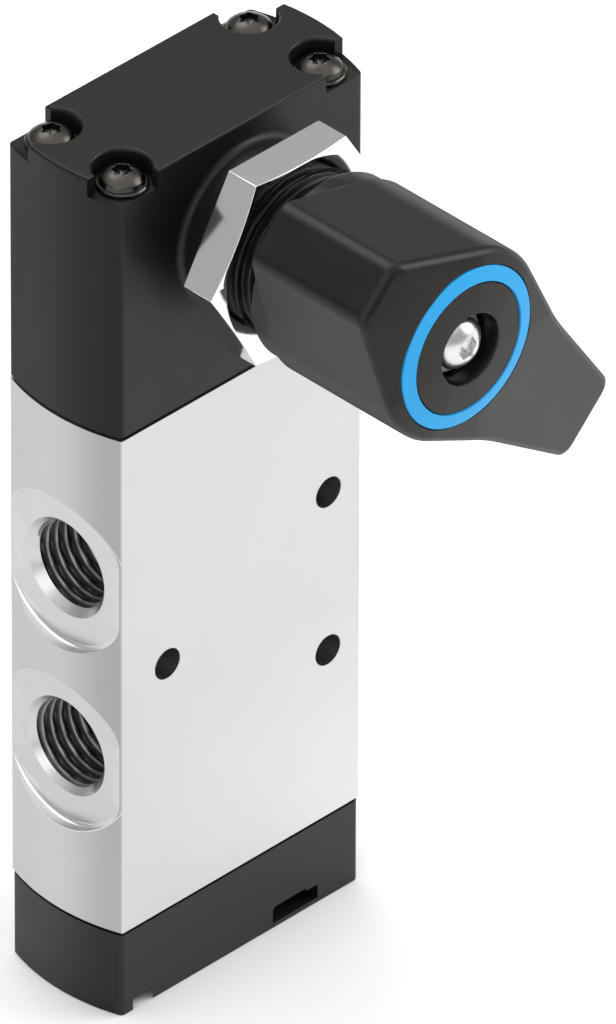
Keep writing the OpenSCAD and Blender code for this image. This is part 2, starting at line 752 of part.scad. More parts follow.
module spool() {
    color([0.78, 0.79, 0.8]) translate([0, y_mid, z_mid]) rotate_extrude() polygon([
        [0, spool_foot], [spool_r, spool_foot], [spool_r, lower_neck[0] - 0.6],
        [neck_r, lower_neck[0]], [neck_r, lower_neck[1]], [spool_r, lower_neck[1] + 0.6],
        [spool_r, upper_neck[0] - 0.6], [neck_r, upper_neck[0]], [neck_r, upper_neck[1]],
        [spool_r, upper_neck[1] + 0.6], [spool_r, spool_top], [0, spool_top]]);
}

module spool_seals() {
    color([0.06, 0.06, 0.06]) for (z = seal_places)
        translate([0, y_mid, z_mid + z]) seal_ring(seal_ring_r, seal_section_r);
}

// One cage between two seals: a waisted sleeve with four windows towards the port
module spacer(low, high, window_z) {
    waist_r = spigot_r - 0.5;
    lip = 0.8;
    difference() {
        translate([0, y_mid, z_mid]) rotate_extrude() polygon([
            [spool_hole_r + 0.2, low], [spigot_r, low], [spigot_r, low + lip], [waist_r, low + lip],
            [waist_r, high - lip], [spigot_r, high - lip], [spigot_r, high], [spool_hole_r + 0.2, high]]);
        translate([0, y_mid, z_mid + window_z]) for (a = [0, 90])
            rotate([0, 90, a]) cylinder(h = 3 * bore_r, r = 1.6, center = true);
    }
}

module seal_spacers() {
    color([0.85, 0.85, 0.82]) for (i = [0 : len(seal_places) - 2]) {
        low = seal_places[i + 1] + seal_half;
        high = seal_places[i] - seal_half;
        spacer(low, high, (low + high) / 2);
    }
}

module end_bush() {
    color([0.55, 0.45, 0.3]) translate([0, y_mid, z_base]) difference() {
        cylinder(h = z_mid - seal_outer - seal_half - z_base, r = spigot_r);
        translate([0, 0, -cut]) cylinder(h = body_h, r = spool_hole_r);
    }
}

module spring_seat() {
    color([0.75, 0.76, 0.77]) translate([0, y_mid, spring_head]) {
        cylinder(h = seat_disc_t, r = spool_r - 0.2);
        translate([0, 0, -seat_nose_l]) cylinder(h = seat_nose_l + seat_disc_t / 2, r = seat_nose_r);
    }
}

// A wire swept along a helix: rings of section points joined by quads, with flat end faces
spring_rings = 16;
spring_sides = 6;
function helix(t) = [spring_r * cos(360 * spring_turns * t), spring_r * sin(360 * spring_turns * t),
    spring_foot + wire_r + (spring_head - spring_foot - 2 * wire_r) * t];
function wire_point(t, b) = helix(t) + wire_r * [
    cos(b) * cos(360 * spring_turns * t), cos(b) * sin(360 * spring_turns * t), sin(b)];

module return_spring() {
    count = spring_turns * spring_rings;
    points = [for (i = [0 : count], j = [0 : spring_sides - 1])
        wire_point(i / count, 360 * j / spring_sides)];
    quads = [for (i = [0 : count - 1], j = [0 : spring_sides - 1])
        let (a = i * spring_sides + j, b = i * spring_sides + (j + 1) % spring_sides)
        [a, a + spring_sides, b + spring_sides, b]];
    first = [for (j = [0 : spring_sides - 1]) j];
    last = [for (j = [spring_sides - 1 : -1 : 0]) count * spring_sides + j];
    color([0.7, 0.71, 0.72]) translate([0, y_mid, 0])
        polyhedron(points, concat(quads, [first, last]), convexity = 10);
}

valve_body();
bottom_cap();
cap_gasket();
cap_screws();
actuator_housing();
housing_gasket();
housing_screws();
panel_nut();
shaft_bearing();
rear_bearing();
seal_retainer();
shaft_seal();
knob_shaft();
shaft_clip();
cam();
detent_leaf();
knob();
knob_ring();
knob_washer();
knob_screw();
tappet();
tappet_guide();
spool();
spool_seals();
seal_spacers();
end_bush();
spring_seat();
return_spring();
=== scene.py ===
import json
import math

import bmesh
import bpy
from mathutils import Matrix, Vector

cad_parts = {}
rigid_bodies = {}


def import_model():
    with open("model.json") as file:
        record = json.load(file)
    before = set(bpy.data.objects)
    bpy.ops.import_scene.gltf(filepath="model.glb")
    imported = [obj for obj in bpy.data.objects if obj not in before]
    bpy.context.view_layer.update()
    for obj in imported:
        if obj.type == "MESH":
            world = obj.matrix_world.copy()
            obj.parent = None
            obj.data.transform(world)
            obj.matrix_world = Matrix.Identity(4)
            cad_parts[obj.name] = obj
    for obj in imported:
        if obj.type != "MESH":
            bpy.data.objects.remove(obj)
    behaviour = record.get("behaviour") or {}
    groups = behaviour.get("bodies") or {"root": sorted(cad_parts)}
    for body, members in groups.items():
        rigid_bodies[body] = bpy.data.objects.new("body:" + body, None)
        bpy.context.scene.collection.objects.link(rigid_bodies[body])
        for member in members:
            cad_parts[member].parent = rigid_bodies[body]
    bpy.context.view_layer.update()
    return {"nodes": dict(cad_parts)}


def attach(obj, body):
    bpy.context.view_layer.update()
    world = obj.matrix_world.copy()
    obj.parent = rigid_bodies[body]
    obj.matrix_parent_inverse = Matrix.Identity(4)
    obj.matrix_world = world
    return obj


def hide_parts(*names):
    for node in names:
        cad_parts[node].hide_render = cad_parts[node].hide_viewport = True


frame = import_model()
mm = 0.001
scene = bpy.context.scene
print("frame loaded:", len(frame["nodes"]), "nodes")

# heights of the joints between the parts, in millimetres; the origin is on the knob's axis
level = {"top": 10.5, "notch": 8.5, "joint": -17.6, "gasket": 0.4, "middle": -45.55, "base": -73.5,
         "foot": -83.15}
depthMiddle = 7.35  # the spool axis lies this far behind the housing's front
portAt = {"left": 10.15, "right": 18.5}  # heights of the ports over and under the body's middle

# the camera that stood where the photograph was taken; millimetres and degrees
shot = {"azimuth": -44.8736, "elevation": 35.5019, "roll": 0.2007, "distance": 2470.4,
        "target": (0, 7.35, -33.5), "right": -11.3008, "up": 2.7541, "lens": 940, "sensor": 36}
clip = (0.5, 20)  # how near and how far the camera sees, in metres


def placeCamera():
    a, e, roll = (math.radians(shot[k]) for k in ("azimuth", "elevation", "roll"))
    back = Vector((math.sin(a) * math.cos(e), -math.cos(a) * math.cos(e), math.sin(e)))
    flat = Vector((math.cos(a), math.sin(a), 0))
    rise = back.cross(flat)
    right = flat * math.cos(roll) + rise * math.sin(roll)
    up = rise * math.cos(roll) - flat * math.sin(roll)
    eye = Vector(shot["target"]) + back * shot["distance"] - right * shot["right"] - up * shot["up"]
    data = bpy.data.cameras.new("photoCamera")
    data.lens, data.sensor_width = shot["lens"], shot["sensor"]
    data.clip_start, data.clip_end = clip
    camera = bpy.data.objects.new("photoCamera", data)
    scene.collection.objects.link(camera)
    turn = Matrix((right, up, back)).transposed().to_4x4()
    camera.matrix_world = Matrix.Translation(eye * mm) @ turn
    scene.camera = camera


placeCamera()
print("camera placed")


# finishes
class Wire:  # a node's output, so that sums of outputs can be written as sums
    def __init__(self, bench, socket):
        self.bench, self.socket = bench, socket

    def math(self, operation, first, second=None):
        return self.bench.add("ShaderNodeMath", {"operation": operation}, {0: first, 1: second})

    def __add__(self, other):
        return self.math("ADD", self, other)

    def __radd__(self, other):
        return self.math("ADD", other, self)

    def __sub__(self, other):
        return self.math("SUBTRACT", self, other)

    def __rsub__(self, other):
        return self.math("SUBTRACT", other, self)

    def __mul__(self, other):
        return self.math("MULTIPLY", self, other)

    def __rmul__(self, other):
        return self.math("MULTIPLY", other, self)

    def __truediv__(self, other):
        return self.math("DIVIDE", self, other)

    def __rtruediv__(self, other):
        return self.math("DIVIDE", other, self)

    def __pow__(self, other):
        return self.math("POWER", self, other)


class ShaderBench:  # writes the nodes of one shader tree
    def __init__(self, tree):
        self.tree = tree

    def add(self, kind, settings, inputs, output=0):
        node = self.tree.nodes.new(kind)
        for key, value in settings.items():
            setattr(node, key, value)
        for key, value in inputs.items():
            self.plug(node.inputs[key], value)
        return Wire(self, node.outputs[output])

    def plug(self, socket, value):
        if isinstance(value, Wire):
            self.tree.links.new(value.socket, socket)
        elif value is not None:
            socket.default_value = value

    def blend(self, share, first, second):
        first, second = ((*c, 1) if isinstance(c, tuple) else c for c in (first, second))
        return self.add("ShaderNodeMix", {"data_type": "RGBA"}, {0: share, 6: first, 7: second}, 2)

    def spread(self, value, low, high, toLow=0.0, toHigh=1.0, soft=False):  # a range laid onto another
        settings = {"interpolation_type": "SMOOTHSTEP"} if soft else {"clamp": True}
        return self.add("ShaderNodeMapRange", settings, {
            "Value": value, "From Min": low, "From Max": high, "To Min": toLow, "To Max": toHigh})

    def axes(self, vector):  # a vector's three parts
        first = self.add("ShaderNodeSeparateXYZ", {}, {0: vector})
        return [Wire(self, socket) for socket in first.socket.node.outputs]


class Finish(ShaderBench):  # one material and the nodes that feed its shader
    def __init__(self, name, **values):
        self.material = bpy.data.materials.new(name)
        self.material.use_nodes = True
        super().__init__(self.material.node_tree)
        self.shader = self.tree.nodes["Principled BSDF"]
        self.feed(**values)
        self.place = self.add("ShaderNodeTexCoord", {}, {}, "Object")

    def feed(self, **values):
        for key, value in values.items():
            name = {"color": "Base Color", "specular": "Specular IOR Level"}.get(key, key.capitalize())
            self.plug(self.shader.inputs[name], value)

    def stretched(self, scale):  # object coordinates, stretched
        return self.add("ShaderNodeMapping", {}, {"Vector": self.place, "Scale": scale})

    def noise(self, scale, detail=2.0, rough=0.5, place=None):
        return self.add("ShaderNodeTexNoise", {}, {
            "Vector": place or self.place, "Scale": scale, "Detail": detail, "Roughness": rough}, "Fac")

    def paintedSideShade(self, front, middle, rear):  # painted shade: a tone over the depth of the bulging sides, darker near the front and the rear
        depth = self.axes(self.place)[1] / mm
        return (self.spread(depth, *paintedShadeDepths["front"], front, middle, soft=True)
                - self.spread(depth, *paintedShadeDepths["rear"], 0.0, middle - rear, soft=True))

    def portPlace(self):  # distance from the nearest port's axis, and its part along the body
        side, depth, height = (axis / mm for axis in self.axes(self.place))
        height = height - level["middle"]
        left = height.math("ABSOLUTE", height) - portAt["left"]
        right = height - portAt["right"] * height.math("ROUND", height / portAt["right"])
        share = self.spread(side, -1, 1)
        across, along = depth - depthMiddle, left * (1 - share) + right * share
        return (across * across + along * along) ** 0.5, along

    def relief(self, height, distance):
        return self.add("ShaderNodeBump", {}, {"Height": height, "Distance": distance, "Strength": 1.0})


# painted shade: the bulging sides are darkened over these depths, in millimetres behind the front
paintedShadeDepths = {"front": (0.6, 7.5), "rear": (8.5, 14.2)}
# painted shade: tones of the bulging sides near the front, in the middle and at the rear
bodyPaintedShade, housingPaintedShade, capPaintedShade = (0.55, 0.80, 0.74), (0.62, 0.78, 0.50), (0.66, 1.0, 0.76)

# painted light on the body: depths of the shaded sides, the painted highlight ring over the spotfaces, and
# heights of the painted shade towards the top
bodyPaintedLight = {"flankFrom": (0.02, 0.16), "flankTo": (14.68, 14.54), "highlightOut": (8.24, 8.27),
            "highlightIn": (8.37, 8.33), "height": (-75, -46), "upperShade": 0.87}


def extrudedAluminium():
    f = Finish("extrudedAluminium", metallic=1.0)
    streaks = f.noise(1, 3, 0.6, f.stretched((9000, 9000, 60)))
    clouds = f.noise(140, 3, 0.55)
    tone = f.spread(streaks * 0.6 + clouds * 0.4, 0.3, 0.7)
    t = bodyPaintedLight
    depth, height = (axis / mm for axis in f.axes(f.place)[1:])
    flank = f.spread(depth, *t["flankFrom"]) * f.spread(depth, *t["flankTo"])
    away, along = f.portPlace()
    spotfaceHighlight = f.spread(away, *t["highlightOut"]) * f.spread(away, *t["highlightIn"])  # painted highlight: a bright ring over each spotface's edge
    flank = flank * (1 - spotfaceHighlight * f.spread(along, -0.5, 1.5))
    # painted shade: the body's colour darkens towards the top
    paintedTopShade = f.spread(height, *t["height"], 1.0, t["upperShade"], soft=True)
    # painted shade: the sides are darkened by depth and the body towards the top, laid over the colour
    shade = (1 - flank * (1 - f.paintedSideShade(*bodyPaintedShade))) * paintedTopShade
    bright = f.blend(tone, (0.700, 0.705, 0.708), (0.735, 0.738, 0.740))
    f.feed(color=f.blend(shade, (0.0, 0.0, 0.0), bright),
           roughness=f.spread(streaks, 0.25, 0.75, 0.40, 0.48), normal=f.relief(streaks, 0.000002))
    return f.material


def machinedAluminium():
    f = Finish("machinedAluminium", metallic=1.0)
    fine = f.noise(16000, 2)
    clouds = f.noise(500, 2)
    side = f.axes(f.place)[0] / mm
    wall = f.spread(side.math("ABSOLUTE", side), 15.58, 15.8)  # painted light: the spotface's wall is coloured brighter, as if it caught more light
    floor = f.blend(clouds, (0.52, 0.523, 0.526), (0.56, 0.563, 0.566))
    f.feed(color=f.blend(wall, floor, (0.92, 0.922, 0.925)),
           roughness=f.spread(fine, 0.3, 0.7, 0.26, 0.36), normal=f.relief(fine, 0.000001))
    return f.material


def cutThread():
    f = Finish("cutThread", metallic=1.0)
    fine = f.noise(9000, 2)
    away, along = f.portPlace()
    crest = f.spread(away, 4.29, 4.56, 1.0, 0.0, soft=True)  # painted light: the crests stand nearest the port's axis and are coloured brighter as if lit, the flats darker as if shaded
    flats = f.blend(fine, (0.078, 0.078, 0.079), (0.098, 0.098, 0.099))
    f.feed(color=f.blend(crest, flats, (0.27, 0.27, 0.272)),
           roughness=f.spread(fine, 0.3, 0.7, 0.36, 0.44))
    return f.material


def mouldedPlastic(name, dark, light, rough, specular=0.5, grain=9000, shadeTones=None, rim=0.0):
    f = Finish(name, specular=specular)
    fine = f.noise(grain, 2, 0.6)
    clouds = f.noise(170, 3)
    tone = f.blend(clouds, dark, light)
    polish = f.spread(clouds * 0.5 + fine * 0.5, 0.3, 0.7, rough - 0.04, rough + 0.04)
    grainy = f.relief(fine, 0.000002)
    f.feed(color=tone, roughness=polish, normal=grainy)
    if shadeTones:  # painted shade: the bulging sides reflect less towards the front and the rear
        side, depth, height = (axis / mm for axis in f.axes(f.place))
        flank = f.spread(side.math("ABSOLUTE", side), 15.2, 15.6) * f.spread(height, 10.45, 10.2)
        dull = flank * (1 - f.paintedSideShade(*shadeTones))
    elif rim:  # the outline seen at a flat angle reflects less
        dull = f.spread(f.add("ShaderNodeLayerWeight", {}, {"Blend": 0.5}, "Facing"), 0.68, 0.96, 0.0, rim)
    if shadeTones or rim:
        matt = f.add("ShaderNodeBsdfPrincipled", {}, {
            "Base Color": tone, "Roughness": polish, "Normal": grainy, "Specular IOR Level": 0.0})
        mixed = f.add("ShaderNodeMixShader", {}, {0: dull, 1: Wire(f, f.shader.outputs[0]), 2: matt})
        f.plug(f.tree.nodes["Material Output"].inputs["Surface"], mixed)
    return f.material


def platedSteel(name, tone, rough):
    f = Finish(name, metallic=1.0)
    clouds = f.noise(300, 3)
    fine = f.noise(9000, 2)
    f.feed(color=f.blend(clouds, tuple(0.97 * c for c in tone), tone),
           roughness=f.spread(clouds * 0.7 + fine * 0.3, 0.3, 0.7, rough * 0.8, rough * 1.25),
           normal=f.relief(clouds, 0.000006))
    return f.material


def blackOxide():
    f = Finish("blackOxide", metallic=1.0)
    clouds = f.noise(1500, 3)
    f.feed(color=f.blend(clouds, (0.055, 0.051, 0.047), (0.080, 0.075, 0.070)),
           roughness=f.spread(clouds, 0.3, 0.7, 0.20, 0.30), normal=f.relief(clouds, 0.000002))
    return f.material


def blackRubber():
    f = Finish("blackRubber", specular=0.3)
    clouds = f.noise(2500, 3)
    f.feed(color=f.blend(clouds, (0.006, 0.006, 0.006), (0.010, 0.010, 0.010)),
           roughness=f.spread(clouds, 0.3, 0.7, 0.6, 0.75))
    return f.material


def studioFloor():
    f = Finish("studioFloor", specular=0.1)
    clouds = f.noise(9, 3)
    f.feed(color=f.blend(clouds, (0.90, 0.90, 0.90), (0.915, 0.915, 0.915)),
           roughness=f.spread(clouds, 0.3, 0.7, 0.8, 0.9))
    return f.material


finish = {
    "body": extrudedAluminium(),
    "machined": machinedAluminium(),
    "thread": cutThread(),
    "housing": mouldedPlastic("housingPlastic", (0.0046, 0.0032, 0.0026), (0.0062, 0.0044, 0.0037),
                              0.43, 0.30, shadeTones=housingPaintedShade),
    "cap": mouldedPlastic("capPlastic", (0.0066, 0.0050, 0.0044), (0.0086, 0.0066, 0.0058),
                          0.43, 0.40, shadeTones=capPaintedShade),
    "knob": mouldedPlastic("knobPlastic", (0.0044, 0.0030, 0.0020), (0.0060, 0.0042, 0.0030),
                           0.36, 0.29, rim=0.75),
    "ring": mouldedPlastic("bluePlastic", (0.0105, 0.310, 0.66), (0.0125, 0.328, 0.70), 0.45, 0.30),
    "cage": mouldedPlastic("cagePlastic", (0.60, 0.60, 0.57), (0.66, 0.66, 0.62), 0.45, grain=6000),
    "nut": platedSteel("platedNut", (0.84, 0.855, 0.865), 0.10),
    "bright": platedSteel("brightScrew", (0.72, 0.722, 0.725), 0.27),
    "steel": platedSteel("groundSteel", (0.60, 0.61, 0.62), 0.28),
    "bronze": platedSteel("bearingBronze", (0.55, 0.38, 0.18), 0.35),
    "screws": blackOxide(),
    "rubber": blackRubber(),
}
print("finishes made:", len(finish))


# ways of making shapes; lengths are in millimetres until a piece is finished
def meshFrom(points, faces, name="form"):
    mesh = bpy.data.meshes.new(name)
    mesh.from_pydata([tuple(p) for p in points], [], faces)
    bm = bmesh.new()
    bm.from_mesh(mesh)
    bmesh.ops.remove_doubles(bm, verts=bm.verts, dist=1e-5)
    bmesh.ops.recalc_face_normals(bm, faces=bm.faces)
    bm.to_mesh(mesh)
    bm.free()
    return mesh


def loft(rings, loop=False):  # rings of equally many points, closed at both ends or into a loop
    count = len(rings[0])
    points = [p for ring in rings for p in ring]
    last = len(rings) if loop else len(rings) - 1
    faces = []
    for k in range(last):
        low, high = k * count, ((k + 1) % len(rings)) * count
        faces += [(low + i, low + (i + 1) % count, high + (i + 1) % count, high + i) for i in range(count)]
    if not loop:
        faces += [tuple(range(count))[::-1], tuple(range((len(rings) - 1) * count, len(rings) * count))]
    return meshFrom(points, faces)


def turned(profile, segments=96, loop=False):  # about Z; radius and height may follow the angle
    rings = []
    for radius, height in profile:
        ring = []
        for i in range(segments):
            a = 2 * math.pi * i / segments
            r = radius(a) if callable(radius) else radius
            z = height(a) if callable(height) else height
            ring.append((r * math.cos(a), r * math.sin(a), z))
        rings.append(ring)
    return loft(rings, loop)


def arc(centre, radius, fromDegrees, toDegrees, steps):
    turns = [math.radians(fromDegrees + (toDegrees - fromDegrees) * i / steps) for i in range(steps + 1)]
    return [(centre[0] + radius * math.cos(a), centre[1] + radius * math.sin(a)) for a in turns]


def prism(outline, low, high):
    return loft([[(x, y, z) for x, y in outline] for z in (low, high)])


def block(low, high):
    (x0, y0, z0), (x1, y1, z1) = low, high
    return prism([(x0, y0), (x1, y0), (x1, y1), (x0, y1)], z0, z1)


def placed(mesh, matrix):
    mesh.transform(matrix)
    return mesh


def shifted(mesh, x=0.0, y=0.0, z=0.0):
    return placed(mesh, Matrix.Translation((x, y, z)))


towardsFront = Matrix.Rotation(math.radians(90), 4, "X")  # Z of a shape becomes -Y of the valve
towardsBack = Matrix.Rotation(math.radians(-90), 4, "X")


def towardsSide(side):  # Z of a shape becomes +X or -X of the valve
    return Matrix.Rotation(math.radians(90 * side), 4, "Y")


def joined(meshes):
    bm = bmesh.new()
    for mesh in meshes:
        bm.from_mesh(mesh)
    whole = bpy.data.meshes.new("form")
    bm.to_mesh(whole)
    bm.free()
    for mesh in meshes:
        bpy.data.meshes.remove(mesh)
    return whole


def shown(mesh, material):
    mesh.materials.clear()
    mesh.materials.append(material)
    return mesh


def evaluated(obj):  # the object's final mesh, with the object itself gone
    graph = bpy.context.evaluated_depsgraph_get()
    mesh = bpy.data.meshes.new_from_object(obj.evaluated_get(graph), preserve_all_data_layers=True,
                                           depsgraph=graph)
    bpy.data.objects.remove(obj)
    return mesh


def carved(mesh, cutter, operation="DIFFERENCE"):
    whole, tool = bpy.data.objects.new("whole", mesh), bpy.data.objects.new("tool", cutter)
    scene.collection.objects.link(whole)
    scene.collection.objects.link(tool)
    cut = whole.modifiers.new("cut", "BOOLEAN")
    cut.object, cut.operation, cut.solver = tool, operation, "EXACT"
    cut.material_mode = "TRANSFER"
    result = evaluated(whole)
    bpy.data.objects.remove(tool)
    return result


def softened(mesh, width, angle, steps=2):  # small rounds along the sharp edges
    holder = bpy.data.objects.new("holder", mesh)
    scene.collection.objects.link(holder)
    bevel = holder.modifiers.new("edges", "BEVEL")
    bevel.width, bevel.segments, bevel.limit_method = width, steps, "ANGLE"
    bevel.angle_limit, bevel.harden_normals = math.radians(angle), False
    return evaluated(holder)


def piece(name, mesh, body, nodes=(), sharp=30.0):
    mesh.transform(Matrix.Scale(mm, 4))
    bm = bmesh.new()
    bm.from_mesh(mesh)
    bmesh.ops.remove_doubles(bm, verts=bm.verts, dist=2e-8)
    bm.to_mesh(mesh)
    bm.free()
    mesh.name = name
    mesh.shade_smooth()
    mesh.set_sharp_from_angle(angle=math.radians(sharp))
    holder = bpy.data.objects.new(name + "Holder", mesh)
    scene.collection.objects.link(holder)
    weigh = holder.modifiers.new("flats", "WEIGHTED_NORMAL")
    weigh.keep_sharp, weigh.weight = True, 100
    final = evaluated(holder)
    final.name = name
    obj = bpy.data.objects.new(name, final)
    scene.collection.objects.link(obj)
    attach(obj, body)
    if nodes:
        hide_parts(*nodes)
    print("  made", name, "with", len(final.polygons), "faces")


# the outline shared by body, housing, cap and gaskets, centred on the spool axis
bodyForm = {"width": 30.9, "depth": 14.7, "bulge": 1.3, "edge": 0.3, "coverEdge": 0.55}


def bodyOutline(inset, edge, arcSteps=40, cornerSteps=6):
    half = bodyForm["depth"] / 2
    bigR = (half ** 2 + bodyForm["bulge"] ** 2) / (2 * bodyForm["bulge"])
    centre = bodyForm["width"] / 2 + bodyForm["bulge"] - bigR
    r, halfDepth = bigR - inset, half - inset
    cornerX = centre + math.sqrt((r - edge) ** 2 - (halfDepth - edge) ** 2)
    tilt = math.degrees(math.atan2(halfDepth - edge, cornerX - centre))
    bulge = arc((centre, 0), r, -tilt, tilt, arcSteps)[1:-1]
    corner = arc((cornerX, halfDepth - edge), edge, tilt, 90, cornerSteps)
    side = [(x, -y) for x, y in corner[::-1]] + bulge + corner
    return side + [(-x, -y) for x, y in side]


def slab(low, high, edge, inset=0.0, roundTop=0.0, roundFoot=0.0, steps=5):
    rings = []
    for i in range(steps + 1 if roundFoot else 1):
        a = math.radians(90 * i / steps)
        rings.append((inset + roundFoot * (1 - math.sin(a)), low + roundFoot * (1 - math.cos(a))))
    for i in range(steps + 1 if roundTop else 1):
        a = math.radians(90 * i / steps)
        rings.append((inset + roundTop * (1 - math.cos(a)), high - roundTop * (1 - math.sin(a))))
    return loft([[(x, y + depthMiddle, z) for x, y in bodyOutline(d, edge)] for d, z in rings])


# Geometry Nodes: a helical thread and a set of screws
class NodeBench:  # builds a geometry tree with named inputs
    def __init__(self, name, inputs):
        self.tree = bpy.data.node_groups.new(name, "GeometryNodeTree")
        self.ids = {}
        self.tree.interface.new_socket("Geometry", in_out="INPUT", socket_type="NodeSocketGeometry")
        for label, (kind, value) in inputs.items():
            socket = self.tree.interface.new_socket(label, in_out="INPUT", socket_type="NodeSocket" + kind)
            if value is not None:
                socket.default_value = value
            self.ids[label] = socket.identifier
        self.tree.interface.new_socket("Geometry", in_out="OUTPUT", socket_type="NodeSocketGeometry")
        self.start = self.tree.nodes.new("NodeGroupInput")
        self.end = self.tree.nodes.new("NodeGroupOutput")

    def add(self, kind, settings=None, inputs=None, output=0):
        node = self.tree.nodes.new(kind)
        for key, value in (settings or {}).items():
            setattr(node, key, value)
        for key, value in (inputs or {}).items():
            if isinstance(value, bpy.types.NodeSocket):
                self.tree.links.new(value, node.inputs[key])
            else:
                node.inputs[key].default_value = value
        return node.outputs[output]

    def math(self, operation, first, second=0.0):
        return self.add("ShaderNodeMath", {"operation": operation}, {0: first, 1: second})

    def given(self, label):
        return self.start.outputs[label]

    def close(self, geometry, material):
        realized = self.add("GeometryNodeRealizeInstances", {}, {"Geometry": geometry})
        painted = self.add("GeometryNodeSetMaterial", {}, {"Geometry": realized, "Material": material})
        self.tree.links.new(painted, self.end.inputs[0])

    def grow(self, mesh, **values):  # the tree's result on a mesh, as a plain mesh
        holder = bpy.data.objects.new("grown", mesh)
        scene.collection.objects.link(holder)
        rule = holder.modifiers.new("rule", "NODES")
        rule.node_group = self.tree
        for label, value in values.items():
            rule[self.ids[label]] = value
        return evaluated(holder)


def threadBench():
    bench = NodeBench("helicalThread", {
        "Root": ("Float", 7.4), "Crest": ("Float", 8.0), "Pitch": ("Float", 1.0), "Length": ("Float", 10.0),
        "Phase": ("Float", 0.0), "FadeLow": ("Float", 0.5), "FadeHigh": ("Float", 0.5), "Around": ("Int", 96),
        "Along": ("Int", 80), "Material": ("Material", None)})
    tube = bench.add("GeometryNodeMeshCylinder", {"fill_type": "NGON"}, {
        "Vertices": bench.given("Around"), "Side Segments": bench.given("Along"), "Radius": 1.0,
        "Depth": bench.given("Length")})
    place = bench.add("GeometryNodeInputPosition")
    split = bench.tree.nodes.new("ShaderNodeSeparateXYZ")
    bench.tree.links.new(place, split.inputs[0])
    x, y, z = split.outputs
    turn = bench.math("DIVIDE", bench.math("ARCTAN2", y, x), 2 * math.pi)
    climb = bench.math("SUBTRACT", bench.math("DIVIDE", z, bench.given("Pitch")), turn)
    phase = bench.math("FRACT", bench.math("ADD", climb, bench.given("Phase")))
    ridge = bench.math("ABSOLUTE", bench.math("SUBTRACT", bench.math("MULTIPLY", phase, 2.0), 1.0))
    flank = bench.add("ShaderNodeMapRange", {"interpolation_type": "SMOOTHSTEP"}, {
        "Value": ridge, "From Min": 0.10, "From Max": 0.86})
    half = bench.math("DIVIDE", bench.given("Length"), 2.0)
    lowEnd = bench.math("DIVIDE", bench.math("ADD", z, half), bench.given("FadeLow"))
    highEnd = bench.math("DIVIDE", bench.math("SUBTRACT", half, z), bench.given("FadeHigh"))
    fade = bench.math("MAXIMUM", bench.math("MINIMUM", bench.math("MINIMUM", lowEnd, highEnd), 1.0), 0.0)
    reach = bench.math("SUBTRACT", bench.given("Crest"), bench.given("Root"))
    grow = bench.math("MULTIPLY", bench.math("MULTIPLY", reach, flank), fade)
    radius = bench.math("ADD", bench.given("Root"), grow)
    moved = bench.add("ShaderNodeCombineXYZ", {}, {
        0: bench.math("MULTIPLY", x, radius), 1: bench.math("MULTIPLY", y, radius), 2: z})
    shaped = bench.add("GeometryNodeSetPosition", {}, {"Geometry": tube, "Position": moved})
    bench.close(shaped, bench.given("Material"))
    return bench


def scatterBench():
    bench = NodeBench("screwSet", {"Screw": ("Object", None), "Turn": ("Float", 0.35), "Seed": ("Int", 4),
                                   "Material": ("Material", None)})
    screw = bench.add("GeometryNodeObjectInfo", {"transform_space": "ORIGINAL"}, {
        "Object": bench.given("Screw")}, "Geometry")
    back = bench.math("MULTIPLY", bench.given("Turn"), -1.0)
    spin = bench.add("FunctionNodeRandomValue", {"data_type": "FLOAT"}, {
        2: back, 3: bench.given("Turn"), "Seed": bench.given("Seed")}, 1)
    turn = bench.add("ShaderNodeCombineXYZ", {}, {2: spin})
    spread = bench.add("GeometryNodeInstanceOnPoints", {}, {
        "Points": bench.given("Geometry"), "Instance": screw, "Rotation": turn})
    bench.close(spread, bench.given("Material"))
    return bench


threads, screwSets = threadBench(), scatterBench()


def screwsAt(places, template, material, turn=0.35):  # one mesh with a copy of the template at each place
    holder = bpy.data.objects.new("template", template)
    scene.collection.objects.link(holder)
    points = bpy.data.meshes.new("places")
    points.from_pydata(places, [], [])
    mesh = screwSets.grow(points, Screw=holder, Turn=turn, Material=material)
    bpy.data.objects.remove(holder)
    return mesh


# the aluminium body: extruded outline, five tapped ports, spool bore and fixing holes
portForm = {"spotface": 8.25, "plane": 15.55, "fillet": 0.4, "mouth": 5.14, "mouthDepth": 0.9, "crest": 4.283,
            "root": 4.86, "pitch": 1.18, "floor": 7.55, "threadIn": 0.06, "threadOut": 0.4,
            "passage": 2.0, "passageFrom": 0.5, "reach": 3}
ports = [(-1, portAt["left"], 0.0), (-1, -portAt["left"], 0.38), (1, portAt["right"], 0.2), (1, 0.0, 0.6),
         (1, -portAt["right"], 0.9)]
fixing = {"radius": 1.625, "through": 16, "places": [(11.3, 9.0), (11.3, -9.0), (-9.6, 0)]}
corner = {"x": 12.7, "y": 4.6}
housingSpots = [(sx * corner["x"], depthMiddle + sy * corner["y"]) for sx in (-1, 1) for sy in (-1, 1)]
capSpots = [(s * corner["x"], depthMiddle + s * corner["y"]) for s in (-1, 1)]
tapped = {"radius": 1.28, "deep": 5.7}
boreRadius = 4.75
past = 1  # a cutter reaches this far beyond the face that it opens


def portMouth(side, height):
    p = portForm
    low, high = p["plane"], p["plane"] + p["reach"]
    profile = [(p["passage"], p["passageFrom"]), (p["passage"], p["floor"]), (p["crest"] - 0.05, p["floor"]),
               (p["crest"] - 0.05, low - p["mouthDepth"] - 0.03), (p["mouth"], low)]
    profile += [(p["spotface"] - p["fillet"] + r, low + p["fillet"] + z)
                for r, z in arc((0, 0), p["fillet"], -90, 0, 5)]
    profile += [(p["spotface"], high)]
    tool = placed(turned(profile, 128), towardsSide(side))
    return shifted(tool, 0, depthMiddle, level["middle"] + height)


